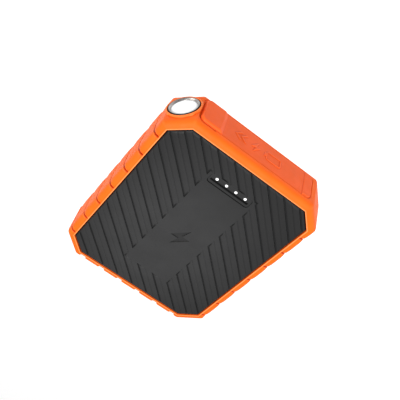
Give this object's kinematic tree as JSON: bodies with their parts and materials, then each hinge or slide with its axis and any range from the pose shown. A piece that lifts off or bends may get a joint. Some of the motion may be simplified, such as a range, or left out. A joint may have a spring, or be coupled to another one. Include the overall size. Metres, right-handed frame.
{
  "type": "jump starter pack",
  "caption": "Flat rugged jump starter pack with a ribbed dark cover, orange grip bumper, corner torch, lit power button bar and a rubber flap over its ports.",
  "frame": {"origin": "middle of the rear cover's outer face, on the surface that the pack lies on", "axes": "+Z out of the ribbed top cover, -Y out of the port flap, the torch looks out between +X and -Y"},
  "size_m": [0.1013, 0.1295, 0.027],
  "materials": {
    "orange_rubber": "satin moulded rubber",
    "flap_rubber": "matt moulded rubber",
    "dark_cover": "fine matt texture",
    "frame_black": "matt",
    "seal_rubber": "matt",
    "dark_chrome": "polished dark chrome",
    "mirror_metal": "mirror",
    "bright_metal": "plated",
    "clear_plastic": "clear, polished",
    "light_white": "milky, translucent",
    "board_green": "solder mask",
    "gold_contact": "gold plated",
    "cell_foil": "laminated foil",
    "foam_grey": "foam",
    "wire_red": "silicone insulation",
    "wire_black": "silicone insulation",
    "socket_blue": "moulded nylon"
  },
  "bodies": {
    "pack": {"battery_lead_black": "wire_black", "battery_lead_red": "wire_red", "board_screw_1": "bright_metal", "board_screw_2": "bright_metal", "bumper": "orange_rubber", "button_board": "board_green", "capacitor": "cell_foil", "cell_1": "cell_foil", "cell_2": "cell_foil", "cell_3": "cell_foil", "cell_link_1": "bright_metal", "cell_link_2": "bright_metal", "cell_tray": "frame_black", "flap_anchor": "flap_rubber", "foam_pad": "foam_grey", "housing_frame": "frame_black", "inductor": "foam_grey", "jump_contact_negative": "gold_contact", "jump_contact_positive": "gold_contact", "jump_socket": "socket_blue", "main_board": "board_green", "port_bezel": "frame_black", "protection_board": "board_green", "rear_cover": "dark_cover", "rear_gasket": "seal_rubber", "rear_screw_1": "bright_metal", "rear_screw_2": "bright_metal", "rear_screw_3": "bright_metal", "rear_screw_4": "bright_metal", "status_light_1": "light_white", "status_light_2": "light_white", "status_light_3": "light_white", "status_light_4": "light_white", "tactile_switch": "frame_black", "top_cover": "dark_cover", "top_gasket": "seal_rubber", "torch_bezel": "dark_chrome", "torch_board": "board_green", "torch_body": "frame_black", "torch_emitter": "light_white", "torch_lens": "clear_plastic", "torch_reflector": "mirror_metal", "torch_seal": "seal_rubber", "torch_wire_black": "wire_black", "torch_wire_red": "wire_red", "usb_a_shell": "bright_metal", "usb_a_tongue": "frame_black", "usb_c_shell": "bright_metal", "usb_c_tongue": "frame_black"},
    "flap": {"port_flap": "flap_rubber"},
    "button": {"power_button": "dark_cover", "light_pipe_1": "light_white", "light_pipe_2": "light_white", "light_pipe_3": "light_white", "light_pipe_4": "light_white"}
  },
  "joints": [
    {"name": "flap_hinge", "type": "hinge", "parent": "pack", "child": "flap", "pos_m": [-0.02915, -0.0646, 0.0127], "axis": [0, 0, -1], "range_deg": [0, 140], "stiffness_Nm_per_rad": 0.002},
    {"name": "button_press", "type": "slide", "parent": "pack", "child": "button", "axis": [0, 0, -1], "range_m": [0, 0.0004], "stiffness_N_per_m": 1000}
  ]
}
